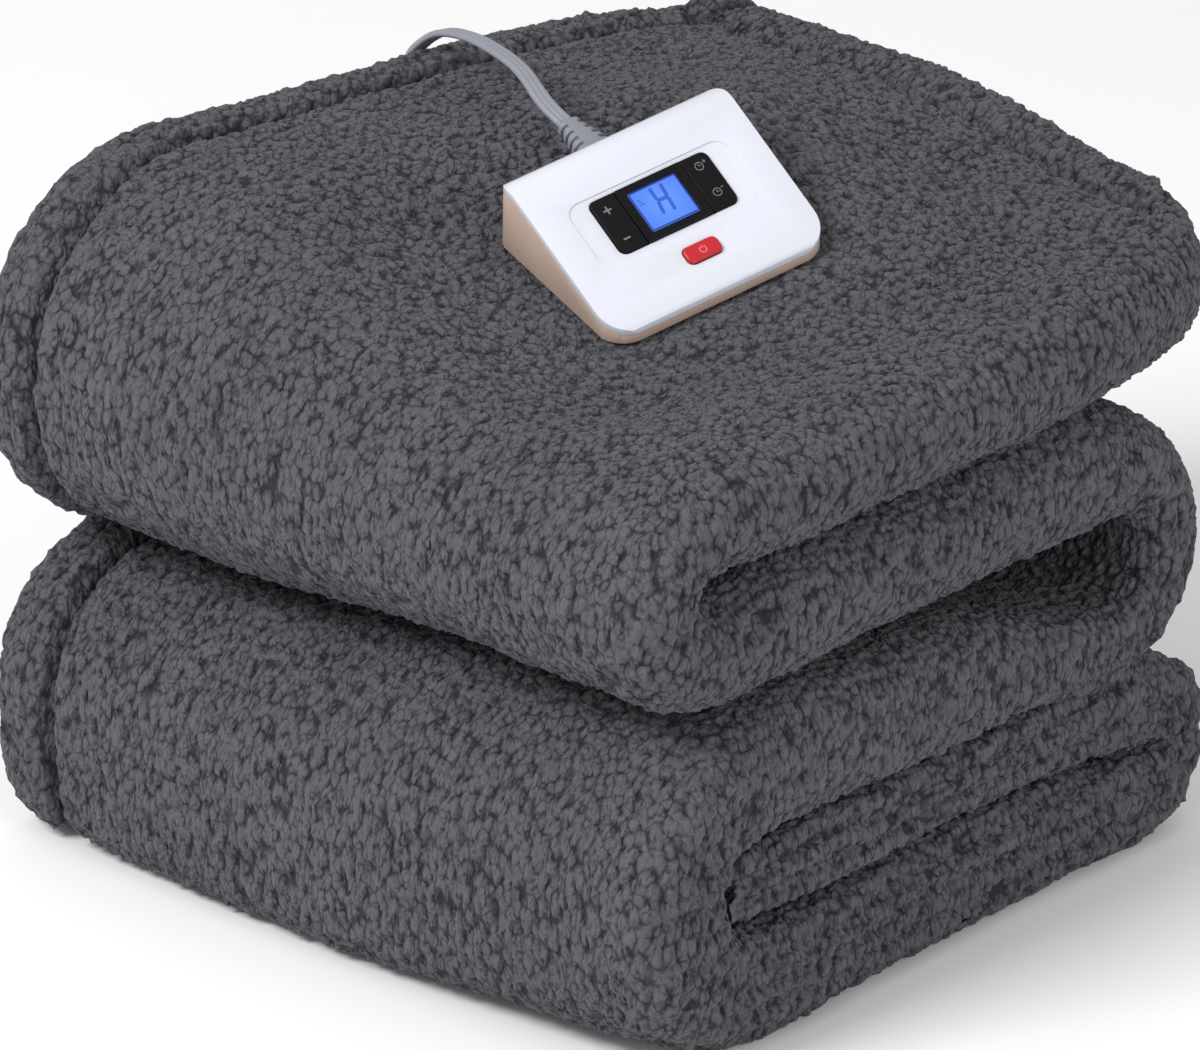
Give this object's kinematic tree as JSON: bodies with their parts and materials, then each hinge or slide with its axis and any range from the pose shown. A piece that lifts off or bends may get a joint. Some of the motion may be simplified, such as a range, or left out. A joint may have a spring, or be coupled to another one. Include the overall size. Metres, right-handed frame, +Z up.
{
  "type": "electric heated blanket",
  "caption": "Folded sherpa electric blanket with a wedge-shaped hand controller on top, its rocker keys, power button and lit display, and a flat cord that ends in a connector.",
  "frame": {"origin": "bottom centre of the folded stack, on the surface it lies on", "axes": "+Z up, +X along the side that shows the layers, which faces -Y, with the rounded folds at -X and the long hem at +Y"},
  "size_m": [0.3894, 0.4815, 0.3135],
  "materials": {
    "sherpa": "curled pile, no gloss",
    "beige_plastic": "fine satin",
    "white_plastic": "gloss",
    "bezel_plastic": "polished",
    "display_lit": "lit, clear gloss",
    "key_plastic": "satin",
    "button_plastic": "satin gloss",
    "cord_rubber": "satin"
  },
  "bodies": {
    "stack": {"blanket": "sherpa", "controller_base": "beige_plastic", "controller_cover": "white_plastic", "display_bezel": "bezel_plastic", "display_window": "display_lit", "cord_boot": "cord_rubber", "cord_tube": "cord_rubber", "cord_coil": "cord_rubber", "cord_end": "cord_rubber", "cord_connector": "cord_rubber"},
    "level_rocker": {"level_key": "key_plastic"},
    "timer_rocker": {"timer_key": "key_plastic"},
    "power_button": {"power_button": "button_plastic"}
  },
  "joints": [
    {"name": "level_tilt", "type": "hinge", "parent": "stack", "child": "level_rocker", "pos_m": [-0.02606, -0.03535, 0.2855], "axis": [0.9599, -0.2187, 0.1756], "range_deg": [-2.5, 2.5], "stiffness_Nm_per_rad": 0.4},
    {"name": "timer_tilt", "type": "hinge", "parent": "stack", "child": "timer_rocker", "pos_m": [-0.02606, -0.03535, 0.2855], "axis": [0.9599, -0.2187, 0.1756], "range_deg": [-2.5, 2.5], "stiffness_Nm_per_rad": 0.4},
    {"name": "power_press", "type": "slide", "parent": "stack", "child": "power_button", "axis": [0.2688, 0.538, -0.799], "range_m": [0, 0.001], "stiffness_N_per_m": 2000}
  ]
}
